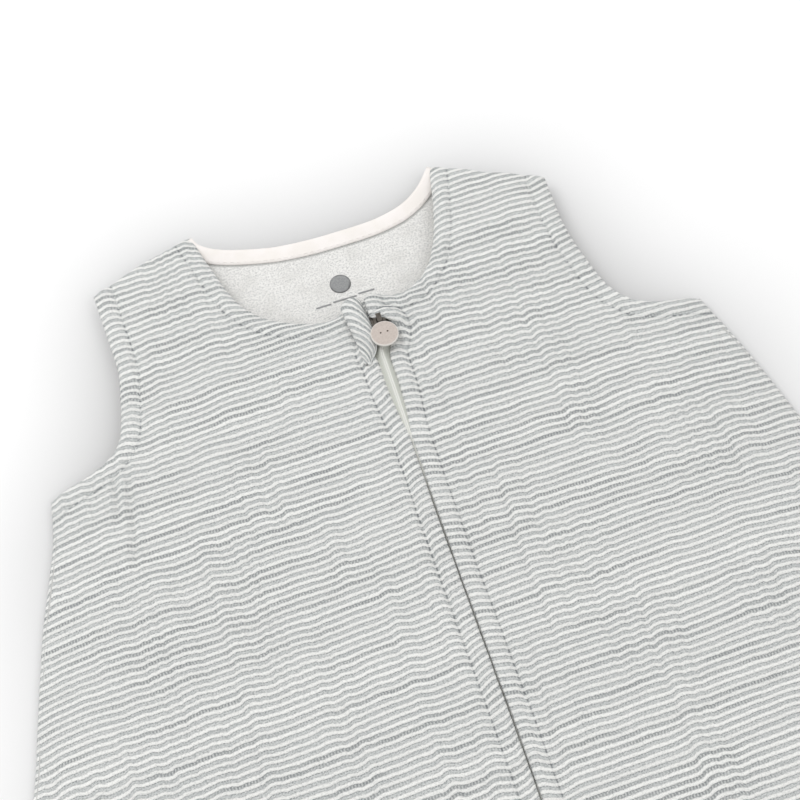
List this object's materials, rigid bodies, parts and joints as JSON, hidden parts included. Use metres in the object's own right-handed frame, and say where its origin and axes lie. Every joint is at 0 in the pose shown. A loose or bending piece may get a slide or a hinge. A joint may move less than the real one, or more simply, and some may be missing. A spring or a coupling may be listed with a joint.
{
  "type": "baby sleeping bag",
  "caption": "Sleeveless baby sleeping bag in striped double gauze, laid flat, with an off-centre front zip, a round pull and a fabric zip garage.",
  "frame": {"origin": "centre of the bag's outline, on the surface it lies on", "axes": "+Y towards the neck, +Z out of the front, +X to the right seen from the front"},
  "size_m": [0.43, 0.8, 0.0214],
  "materials": {
    "striped_gauze": "thin crinkled cotton double gauze with grey and off-white stripes across",
    "lining_gauze": "plain pale grey-white cotton gauze",
    "seam_gauze": "turned cotton allowance",
    "cream_tape": "smooth cream cotton tape",
    "zip_tape": "woven pale grey zip tape",
    "zip_coil": "pale grey nylon coil",
    "slider_metal": "satin zinc alloy",
    "pull_enamel": "satin rose-taupe with a lighter rim"
  },
  "bodies": {
    "bag": {"back_shell": "striped_gauze", "back_lining": "lining_gauze", "back_neck_tape": "cream_tape", "hem_seam": "seam_gauze", "left_side_seam": "seam_gauze", "right_side_seam": "seam_gauze", "left_shoulder_seam": "seam_gauze", "right_shoulder_seam": "seam_gauze", "left_armhole_tape": "seam_gauze", "right_armhole_tape": "seam_gauze", "left_front_shell": "striped_gauze", "right_front_shell": "striped_gauze", "left_front_lining": "lining_gauze", "right_front_lining": "lining_gauze", "lower_zip_tapes": "zip_tape", "lower_zip_coils": "zip_coil", "zip_bottom_stop": "slider_metal"},
    "left_flap": {"left_flap_shell": "striped_gauze", "left_flap_lining": "lining_gauze", "left_front_neck_tape": "seam_gauze", "left_zip_tape": "zip_tape", "left_zip_coil": "zip_coil", "left_zip_top_stop": "slider_metal", "zip_guard": "seam_gauze"},
    "right_flap": {"right_flap_shell": "striped_gauze", "right_flap_lining": "lining_gauze", "right_front_neck_tape": "seam_gauze", "right_zip_tape": "zip_tape", "right_zip_coil": "zip_coil", "right_zip_top_stop": "slider_metal"},
    "zip_slider": {"zip_slider_body": "slider_metal", "zip_slider_bridge": "slider_metal"},
    "zip_pull": {"zip_pull_link": "slider_metal", "zip_pull_disc": "pull_enamel"},
    "garage": {"zip_garage": "striped_gauze"}
  },
  "joints": [
    {"name": "zip_slide", "type": "slide", "parent": "bag", "child": "zip_slider", "axis": [0, -1, 0], "range_m": [0, 0.541]},
    {"name": "left_flap_fold", "type": "hinge", "parent": "bag", "child": "left_flap", "pos_m": [-0.0354, 0.4, 0.01505], "axis": [0.0642, -0.9979, 0.0001], "range_deg": [0, 160]},
    {"name": "right_flap_fold", "type": "hinge", "parent": "bag", "child": "right_flap", "pos_m": [0.057, 0.4, 0.0145], "axis": [0.0642, 0.9979, -0.0009], "range_deg": [0, 160]},
    {"name": "pull_swing", "type": "hinge", "parent": "zip_slider", "child": "zip_pull", "pos_m": [0.0108, 0.328, 0.0177], "axis": [-1, 0, 0], "range_deg": [0, 150]},
    {"name": "garage_fold", "type": "hinge", "parent": "left_flap", "child": "garage", "pos_m": [-0.0018, 0.3245, 0.01535], "axis": [0, -1, 0], "range_deg": [0, 80]}
  ],
  "couplings": [
    {"joint": "left_flap_fold", "follows": "zip_slide", "rad_per_m": 5.161},
    {"joint": "right_flap_fold", "follows": "zip_slide", "rad_per_m": 5.161}
  ]
}
